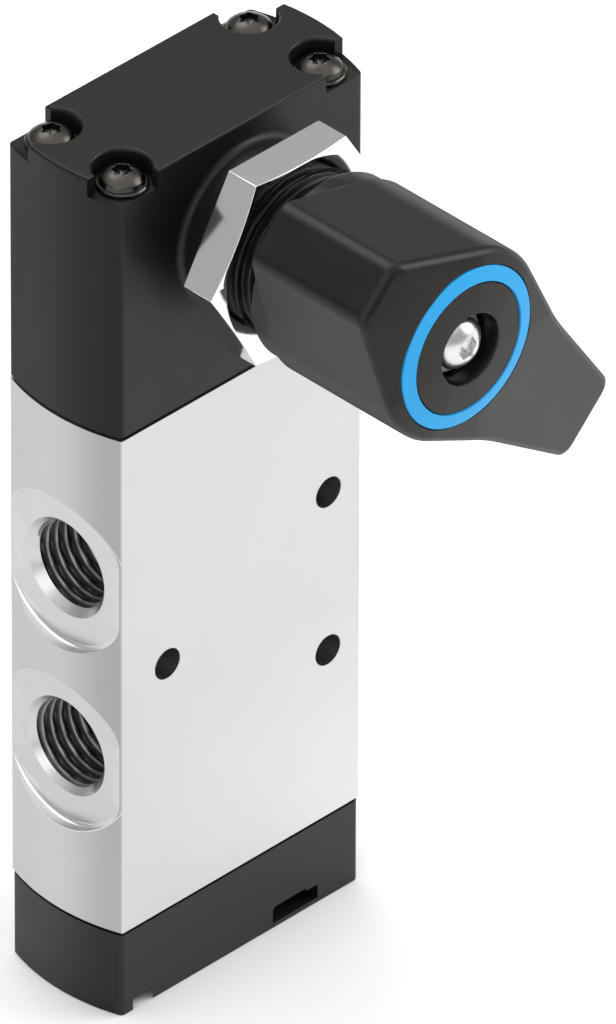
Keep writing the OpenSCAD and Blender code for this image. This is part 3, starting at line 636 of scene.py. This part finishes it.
def portThread(side, height, phase):
    p = portForm
    low, high = p["floor"] + p["threadIn"], p["plane"] - p["threadOut"]
    tool = threads.grow(bpy.data.meshes.new("seed"), Root=p["crest"], Crest=p["root"], Pitch=p["pitch"],
                        Length=high - low, Phase=phase, FadeLow=0.8, FadeHigh=0.45, Around=96, Along=78,
                        Material=finish["thread"])
    tool = placed(shifted(tool, 0, 0, (low + high) / 2), towardsSide(side))
    return shifted(tool, 0, depthMiddle, level["middle"] + height)


def drilled(x, y, low, high, radius, segments):
    return shifted(turned([(radius, low), (radius, high)], segments), x, y, 0)


def makeBody():
    mesh = shown(slab(level["base"], level["joint"], bodyForm["edge"]), finish["body"])
    mouths = joined([portMouth(side, height) for side, height, phase in ports])
    mesh = carved(mesh, shown(mouths, finish["machined"]))
    mesh = carved(mesh, shown(joined([portThread(*port) for port in ports]), finish["thread"]))
    base, joint, deep = level["base"], level["joint"], tapped["deep"]
    holes = []
    for x, z in fixing["places"]:
        hole = turned([(fixing["radius"], -past), (fixing["radius"], fixing["through"])], 64)
        hole = placed(hole, towardsBack)
        holes.append(shifted(hole, x, 0, level["middle"] + z))
    holes += [drilled(x, y, joint - deep, joint + past, tapped["radius"], 32) for x, y in housingSpots]
    holes += [drilled(x, y, base - past, base + deep, tapped["radius"], 32) for x, y in capSpots]
    mesh = carved(mesh, shown(joined(holes), finish["machined"]))
    bore = drilled(0, depthMiddle, base - past, joint + past, boreRadius, 96)
    mesh = carved(mesh, shown(bore, finish["machined"]))
    piece("valveBody", mesh, "valve", ["valve_body"])


makeBody()
print("body made")

# the black housing with its notches, cavity and panel sleeve
housingForm = {"round": 0.35, "scallop": 2.8, "notchFront": 1.9, "notchFlank": 0.75, "notchReach": 6.0,
               "screwHole": 1.6, "boreR": 5.0, "boreFrom": -2.5, "sleeveR": 8.0, "footR": 0.8,
               "sleeveFront": 13.0, "coreR": 7.3, "threadFrom": 4.4, "threadRoot": 7.4, "threadIn": 7.2,
               "pitch": 1.0,
               "cavity": (-9, 1.75, 9, 12.95), "cavityTop": 8.5}


def notchOutline(grow):  # about the screw's axis, with the corner of the housing towards +X and +Y
    h = housingForm
    front, flank, r = h["notchFront"] + grow, h["notchFlank"] + grow, h["scallop"] + grow
    first, last = -math.degrees(math.asin(flank / r)), math.degrees(math.asin(front / r)) - 270
    far = h["notchReach"]
    return arc((0, 0), r, first, last, 40) + [(-front, far), (far, far), (far, -flank)]


def notchTool(sx, sy):
    h, rings = housingForm, [(0, level["notch"])]
    for i in range(6):
        a = math.radians(90 * i / 5)
        rings.append((h["round"] * (1 - math.cos(a)), level["top"] - h["round"] * (1 - math.sin(a))))
    rings.append((h["round"], level["top"] + past))
    tool = loft([[(x, y, z) for x, y in notchOutline(d)] for d, z in rings])
    tool.transform(Matrix.Diagonal((sx, sy, 1, 1)))
    return shifted(tool, sx * corner["x"], depthMiddle + sy * corner["y"], 0)


def rightWayOut(mesh):
    bm = bmesh.new()
    bm.from_mesh(mesh)
    bmesh.ops.recalc_face_normals(bm, faces=bm.faces)
    bm.to_mesh(mesh)
    bm.free()
    return mesh


def makeHousing():
    h = housingForm
    mesh = slab(level["joint"] + level["gasket"], level["top"], bodyForm["coverEdge"], roundTop=h["round"])
    mesh = carved(mesh, rightWayOut(joined([notchTool(sx, sy) for sx in (-1, 1) for sy in (-1, 1)])))
    low, high = level["joint"] - past, level["top"] + past
    holes = [drilled(x, y, low, high, h["screwHole"], 32) for x, y in housingSpots]
    x0, y0, x1, y1 = h["cavity"]
    holes.append(block((x0, y0, low), (x1, y1, h["cavityTop"])))
    mesh = carved(mesh, joined(holes))
    low, high = h["threadFrom"], h["sleeveFront"]
    foot = h["sleeveR"] + h["footR"]
    profile = [(foot, -past)]
    profile += [(foot + x, h["footR"] + z) for x, z in arc((0, 0), h["footR"], -90, -180, 8)]
    profile += [(h["sleeveR"], low), (h["coreR"], low + 0.1), (h["coreR"], high)]
    sleeve = placed(turned(profile, 128), towardsFront)
    mesh = carved(mesh, sleeve, "UNION")
    bore = placed(turned([(h["boreR"], h["boreFrom"]), (h["boreR"], high + past)], 96), towardsFront)
    mesh = carved(mesh, bore)
    piece("actuatorHousing", shown(mesh, finish["housing"]), "valve", ["actuator_housing"])
    tube = threads.grow(bpy.data.meshes.new("seed"), Root=h["threadRoot"], Crest=h["sleeveR"],
                        Pitch=h["pitch"], Length=high - low, Phase=0.3, FadeLow=0.6, FadeHigh=1.0,
                        Around=96, Along=100, Material=finish["housing"])
    tube = placed(shifted(tube, 0, 0, (low + high) / 2), towardsFront)
    inside = turned([(h["threadIn"], low - past), (h["threadIn"], high + past)], 96)
    tube = carved(tube, placed(inside, towardsFront))
    piece("sleeveThread", shown(tube, finish["housing"]), "valve", sharp=40)


makeHousing()
print("housing made")

# end cap with its counterbores and stepped slot
capForm = {"inset": 0.1, "round": 0.15, "notch": 1.45, "counterbore": 2.95, "hole": 1.6, "pocket": 3.02,
           "floor": 2.6, "through": 11, "slotDepth": 4.0, "slotFrom": 0.6}
slotOutline = [(4.3, 0), (10.2, 0), (10.2, 1.52), (8.75, 1.52), (8.7, 1.57), (8.7, 1.82), (4.8, 1.82),
               (4.55, 1.77), (4.37, 1.6), (4.3, 1.35)]  # across, and up from the slot's foot


def makeCap():
    c, low = capForm, level["foot"]
    mesh = slab(low, level["base"] - level["gasket"], bodyForm["coverEdge"], inset=c["inset"],
                roundFoot=c["round"])
    seat, high = low + c["notch"], low + c["through"]
    stepped = [(c["counterbore"], low - past), (c["counterbore"], seat), (c["hole"], seat), (c["hole"], high)]
    tools = [shifted(turned(stepped, 64), x, y, 0) for x, y in capSpots]
    tools.append(drilled(0, depthMiddle, low + c["floor"], high, c["pocket"], 64))
    slot = prism([(x, c["slotFrom"] + z) for x, z in slotOutline], -c["slotDepth"], past)
    tools.append(shifted(placed(slot, towardsFront), 0, c["inset"], low))
    mesh = carved(mesh, joined(tools))
    piece("bottomCap", shown(mesh, finish["cap"]), "valve", ["bottom_cap"])


makeCap()
print("cap made")

# corner screws: collar, domed head with a six-lobed recess, shank
screwForm = {"shank": 1.25, "collar": 2.5, "collarT": 0.45, "dome": 2.12, "domeT": 1.35, "lobeOut": 1.0,
             "lobeIn": 0.76, "recess": 0.75, "grip": 5.4}


def cornerScrew(shank, domeHeight):
    s = screwForm
    rim = domeHeight / 3
    rise = domeHeight - rim
    ball = (s["dome"] ** 2 + rise ** 2) / (2 * rise)
    top = s["collarT"] + domeHeight

    def star(a):
        return (s["lobeOut"] + s["lobeIn"]) / 2 + (s["lobeOut"] - s["lobeIn"]) / 2 * math.cos(6 * a)

    def onBall(r):
        return top - ball + math.sqrt(ball ** 2 - r ** 2)

    profile = [(s["shank"], -shank), (s["shank"], 0), (s["collar"] - 0.08, 0), (s["collar"], 0.08),
               (s["collar"], s["collarT"] - 0.12), (s["collar"] - 0.12, s["collarT"]),
               (s["dome"] + 0.04, s["collarT"]), (s["dome"], s["collarT"] + 0.06),
               (s["dome"], s["collarT"] + rim - 0.03)]
    profile += [(r, onBall(r)) for r in (2.07, 1.95, 1.78, 1.58, 1.38, 1.22)]
    floor = top - s["recess"]
    profile += [(lambda a: star(a) + 0.06, lambda a: onBall(star(a) + 0.06)),
                (star, lambda a: onBall(star(a)) - 0.05), (star, floor),
                (lambda a: star(a) * 0.5, floor - 0.1), (0.02, floor - 0.2)]
    return turned(profile, 96)


def makeScrews():
    s, cap = screwForm, capForm
    spots = [(x, y, level["notch"]) for x, y in housingSpots]
    shank = level["notch"] - level["joint"] + s["grip"]
    mesh = screwsAt(spots, cornerScrew(shank, s["domeT"]), finish["screws"])
    piece("housingScrews", mesh, "valve", ["housing_screws"], sharp=35)
    spots = [(x, -y, -(level["foot"] + cap["notch"])) for x, y in capSpots]  # turned over once they are made
    shank = level["base"] - level["foot"] - cap["notch"] + s["grip"]
    mesh = screwsAt(spots, cornerScrew(shank, cap["notch"] - s["collarT"] - 0.05), finish["screws"])
    mesh.transform(Matrix.Rotation(math.pi, 4, "X"))
    piece("capScrews", mesh, "valve", ["cap_screws"], sharp=35)


makeScrews()
print("screws made")

# panel nut: flats top and bottom, corners turned off at the front
nutForm = {"across": 20.0, "back": 4.08, "front": 8.08, "face": 9.9, "bevel": 15, "bore": 8.05, "lead": 0.45,
           "edge": 0.05}


def makeNut():
    n = nutForm

    def hexagon(a):
        return n["across"] / 2 / math.cos((a % (math.pi / 3)) - math.pi / 6)

    def chamfered(a):
        return n["front"] - (hexagon(a) - n["face"]) * math.tan(math.radians(n["bevel"]))

    wide = n["bore"] + n["lead"]
    profile = [(wide, n["back"]), (hexagon, n["back"]), (hexagon, chamfered), (n["face"], n["front"]),
               (wide, n["front"]), (n["bore"], n["front"] - n["lead"]), (n["bore"], n["back"] + n["lead"])]
    mesh = placed(turned(profile, 144, loop=True), towardsFront)
    mesh = softened(mesh, n["edge"], 12)
    piece("panelNut", shown(mesh, finish["nut"]), "valve", ["panel_nut"], sharp=60)


makeNut()
print("nut made")

# knob: outline in the pointer's own frame, rounded at the front, hollow at the back
knobForm = {"front": 29.05, "lobeBack": 13.05, "back": 10.65, "hub": 9.8, "skirt": 9.4, "tail": 28.4,
            "tailWidth": 8.3, "tailSlope": 81.9, "heel": 13.9, "heelAngle": 121.3, "neckAngle": 72.3,
            "edge": 0.95, "wall": 2.0, "rib": 1.4, "ringOut": 8.2, "ringIn": 6.7, "ringT": 0.8,
            "ringGap": 0.12, "ringEdge": 0.06, "discDrop": 0.1, "recess": 3.6, "recessT": 2.2,
            "tipRound": 1.35, "waistRound": 30.0, "heelRound": 1.7, "within": 0.035, "slope": 11.0,
            "heelDome": 38.0, "dome": 55.0, "hollowT": 5.93, "cave": 8.5, "caveTop": 13.35, "shaft": 3.05,
            "shaftTop": 18.8, "screwHole": 1.6, "square": 4.26, "squareTop": 24.85}
pointerTurn = Matrix.Rotation(math.radians(-45), 4, "Z")
slopeTan = math.tan(math.radians(knobForm["slope"]))


def crossing(a1, d1, a2, d2):
    a1, a2 = math.radians(a1), math.radians(a2)
    s = math.sin(a2 - a1)
    return Vector(((d1 * math.sin(a2) - d2 * math.sin(a1)) / s, (d2 * math.cos(a1) - d1 * math.cos(a2)) / s))


def roundedCorner(a, b, c, r, steps):
    u, v = (a - b).normalized(), (c - b).normalized()
    half = math.acos(max(-1, min(1, u.dot(v)))) / 2
    centre = b + (u + v).normalized() * (r / math.sin(half))
    p, q = b + u * (r / math.tan(half)) - centre, b + v * (r / math.tan(half)) - centre
    start = math.atan2(p.y, p.x)
    sweep = (math.atan2(q.y, q.x) - start + 3 * math.pi) % (2 * math.pi) - math.pi
    return [centre + r * Vector((math.cos(start + sweep * i / steps), math.sin(start + sweep * i / steps)))
            for i in range(steps + 1)]


def knobOutline(inset=0.0):
    k = knobForm
    slope, d = k["tailSlope"], k["hub"] - inset
    s = math.radians(slope)
    sideD = k["tail"] * math.cos(s) + k["tailWidth"] / 2 * math.sin(s) - inset
    tail = k["tail"] - inset
    tip, tipCorner = Vector((tail, 0)), Vector((tail, (sideD - tail * math.cos(s)) / math.sin(s)))
    shoulder = crossing(k["neckAngle"], d, slope, sideD)
    crown = crossing(k["neckAngle"], d, k["heelAngle"], d)
    heel = crossing(k["heelAngle"], d, 180, k["heel"] - inset)
    back = Vector((-k["heel"] + inset, 0))
    half = roundedCorner(tip, tipCorner, shoulder, k["tipRound"] - inset / 4, 8)
    half += roundedCorner(tipCorner, shoulder, crown, k["waistRound"] + inset, 12)
    half += roundedCorner(shoulder, crown, heel, d, 30)
    half += roundedCorner(crown, heel, back, k["heelRound"], 8)
    return half + [Vector((p.x, -p.y)) for p in half[::-1]]


def coneLift(r):  # height of the sloping front over the plane of the ring's outer edge
    return (knobForm["ringOut"] - r) * slopeTan


def domeLift(r):  # height of the shallow dome inside the ring
    k = knobForm
    rim = coneLift(k["ringIn"]) - k["discDrop"]
    return rim + math.sqrt(k["dome"] ** 2 - r ** 2) - math.sqrt(k["dome"] ** 2 - k["ringIn"] ** 2)


def faceLift(p):  # the pointer slopes evenly, the heel falls away like a dome
    k, r = knobForm, p.length
    share = min(1.0, max(0.0, 0.5 - p.x / r))
    share = share * share * (3 - 2 * share)
    return share * (k["ringOut"] ** 2 - r ** 2) / (2 * k["heelDome"]) + (1 - share) * coneLift(r)


def knobShell(steps=8, backEdge=0.25):
    k, rings = knobForm, []
    for i in range(4):
        a = math.radians(90 * i / 3)
        inset = backEdge * (1 - math.sin(a))
        rim = knobOutline(inset + k["within"])
        rings.append([(p.x, p.y, k["lobeBack"] + backEdge * (1 - math.cos(a))) for p in rim])
    for i in range(steps + 1):
        a = math.radians((90 - k["slope"]) * i / steps)
        inset = k["edge"] * (1 - math.cos(a))
        fall = (k["edge"] * (1 / math.cos(math.radians(k["slope"])) - math.sin(a))
                + (inset - k["edge"]) * slopeTan)
        rim = knobOutline(inset + k["within"])
        rings.append([(p.x, p.y, k["front"] + faceLift(p) - fall) for p in rim])
    middle = [p.normalized() * (k["ringOut"] + k["ringGap"] / 2) for p in rim]
    for share in (0.2, 0.4, 0.6, 0.8, 1.0):
        ring = [p.lerp(q, share) for p, q in zip(rim, middle)]
        rings.append([(p.x, p.y, k["front"] + faceLift(p)) for p in ring])
    for r in (k["ringIn"] - k["ringGap"] / 2, 5.8, 5.0, 4.3, 3.7, 2.5, 1.0):
        rings.append([(*(p.normalized() * r), k["front"] + domeLift(r)) for p in rim])
    return loft(rings)


def makeKnob():
    k = knobForm
    mesh = placed(knobShell(), pointerTurn)
    front, back, skirt = k["front"], k["back"], k["skirt"]
    collar = turned([(skirt - 0.25, back), (skirt - 0.07, back + 0.07), (skirt, back + 0.25),
                     (skirt, k["lobeBack"] + 0.5)], 128)
    mesh = carved(mesh, collar, "UNION")
    far = 40  # beyond the knob's tail and front
    hollows = prism([tuple(p) for p in knobOutline(k["wall"])], k["lobeBack"] - past, front - k["hollowT"])
    hollows = carved(placed(hollows, pointerTurn), turned([(skirt + 0.2, 0), (skirt + 0.2, far)], 128))
    rib = block((-far, -k["rib"] / 2, 0), (far, k["rib"] / 2, far))
    hollows = carved(hollows, placed(rib, pointerTurn))
    mesh = carved(mesh, hollows)
    outer, inner, low = k["ringOut"] + k["ringGap"], k["ringIn"] - k["ringGap"], front - k["ringT"]
    groove = [(inner, low), (outer, low), (outer, front + past), (inner, front + past)]
    mesh = carved(mesh, turned(groove, 144, loop=True))
    r, bottom, mouth = k["recess"], front - k["recessT"], front + domeLift(k["recess"] + 0.15)
    middle = turned([(k["cave"], back - past), (k["cave"], k["caveTop"]), (k["shaft"], k["caveTop"]),
                     (k["shaft"], k["shaftTop"]), (k["screwHole"], k["shaftTop"]), (k["screwHole"], bottom),
                     (r, bottom), (r, mouth - 0.15), (r + 0.05, mouth - 0.05), (r + 0.15, mouth),
                     (r + 0.15, mouth + past)], 96)
    mesh = carved(mesh, middle)
    half = k["square"] / 2
    mesh = carved(mesh, block((-half, -half, k["shaftTop"] - 0.8), (half, half, k["squareTop"])))
    piece("knob", shown(placed(mesh, towardsFront), finish["knob"]), "knob", ["knob"])
    e, inZ = k["ringEdge"], front + coneLift(k["ringIn"])
    ring = turned([(k["ringIn"], low), (k["ringOut"], low), (k["ringOut"], front - e),
                   (k["ringOut"] - e, front + e * slopeTan), (k["ringIn"] + e, inZ - e * slopeTan),
                   (k["ringIn"], inZ - 2 * e)], 144, loop=True)
    ring = shown(placed(ring, towardsFront), finish["ring"])
    piece("knobRing", ring, "knob", ["knob_ring"])


makeKnob()
print("knob made")

# the knob's button-head screw and its washer
buttonForm = {"head": 2.6, "rim": 0.9, "dome": 1.33, "lip": 1.3, "socket": 2.0, "deep": 1.1, "shank": 1.25,
              "length": 8.0, "washer": 3.3, "washerBore": 1.6, "washerT": 0.5}


def makeKnobScrew():
    b, k = buttonForm, knobForm
    seat = k["front"] - k["recessT"] + b["washerT"]
    rimTop = seat + b["rim"]
    ball = (b["head"] ** 2 + b["dome"] ** 2) / (2 * b["dome"])
    top = rimTop + b["dome"]

    def socket(a):
        return b["socket"] / 2 / math.cos((a % (math.pi / 3)) - math.pi / 6)

    def onBall(r):
        return top - ball + math.sqrt(ball ** 2 - r ** 2)

    head, lip, floor = b["head"], onBall(b["lip"]), top - b["deep"]
    profile = [(b["shank"], seat - b["length"]), (b["shank"], seat), (head - 0.15, seat), (head, seat + 0.15),
               (head, rimTop - 0.12), (head - 0.03, rimTop - 0.03)]
    profile += [(head * share, onBall(head * share)) for share in (0.96, 0.9, 0.83, 0.76, 0.67, 0.6, 0.55)]
    profile += [(b["lip"], lip), (lambda a: socket(a) + 0.03, lip - 0.08), (socket, lip - 0.14),
                (socket, floor), (0.02, floor - 0.45)]
    mesh = placed(turned(profile, 96), towardsFront)
    piece("knobScrew", shown(mesh, finish["bright"]), "knob", ["knob_screw"], sharp=35)
    low, high, wide, bore = seat - b["washerT"], seat, b["washer"], b["washerBore"]
    washer = turned([(bore, low), (wide, low), (wide, high - 0.12), (wide - 0.12, high), (bore, high)], 96,
                    loop=True)
    washer = shown(placed(washer, towardsFront), finish["bright"])
    piece("knobWasher", washer, "knob", ["knob_washer"])


makeKnobScrew()
print("knob screw made")

# carried-over solids take a finish each
carried = {"rubber": ["cap_gasket", "housing_gasket", "shaft_seal", "spool_seals"],
           "bronze": ["shaft_bearing", "rear_bearing", "tappet_guide", "end_bush"],
           "housing": ["seal_retainer"], "cage": ["seal_spacers"], "screws": ["shaft_clip"],
           "steel": ["knob_shaft", "cam", "detent_leaf", "tappet", "spool", "spring_seat", "return_spring"]}
for key, names in carried.items():
    for name in names:
        for holder in frame["nodes"][name].material_slots:
            holder.material = finish[key]
print("carried solids finished")

# floor and world: strengths of the light, and the parts of a direction over which they change
studio = {"floor": 3.0, "front": 0.45, "side": 0.54, "back": 0.45, "zenith": 1.4, "frontTurn": (-0.7, 0.05),
          "backTurn": (0.0, 0.45), "leftRight": (-0.3, 0.3), "from": 0.60, "fromLeft": 0.46, "to": 0.88}
# strength and direction of each soft light
softLights = [(4.3, (0.74, -0.49, 0.46)), (2.3, (0.10, 0.52, 0.85)), (1.5, (-0.84, -0.36, 0.41))]
lightEdge, lightCore = 0.90, 0.985  # cosines of the angles where a soft light ends and where it is full


def makeStudio():
    s, n = studio, studio["floor"]
    floor = meshFrom([(-n, -n, 0), (n, -n, 0), (n, n, 0), (-n, n, 0)], [(0, 1, 2, 3)], "floor")
    floor.transform(Matrix.Translation((0, 0, level["foot"] * mm)))
    floor.materials.append(studioFloor())
    obj = bpy.data.objects.new("floor", floor)
    scene.collection.objects.link(obj)
    world = bpy.data.worlds.new("studio")
    world.use_nodes = True
    scene.world = world
    sky = ShaderBench(world.node_tree)
    direction = sky.add("ShaderNodeTexCoord", {}, {}, "Generated")
    x, y, z = sky.axes(direction)
    near = sky.spread(y, *s["frontTurn"], s["front"], s["side"], soft=True)
    far = sky.spread(y, *s["backTurn"], 0.0, s["side"] - s["back"], soft=True)
    lowest = sky.spread(x, *s["leftRight"], s["fromLeft"], s["from"])
    above = sky.spread(z, lowest, s["to"], soft=True)
    light = (near - far) * (1 - above) + above * s["zenith"]
    for strength, place in softLights:
        facing = sky.add("ShaderNodeVectorMath", {"operation": "DOT_PRODUCT"}, {
            0: direction, 1: place}, "Value")
        light = light + sky.spread(facing, lightEdge, lightCore, 0.0, strength, soft=True)
    sky.plug(world.node_tree.nodes["Background"].inputs["Strength"], light)
    world.node_tree.nodes["Background"].inputs["Color"].default_value = (1, 1, 1, 1)
    scene.view_settings.view_transform = "Standard"


makeStudio()
print("studio made")
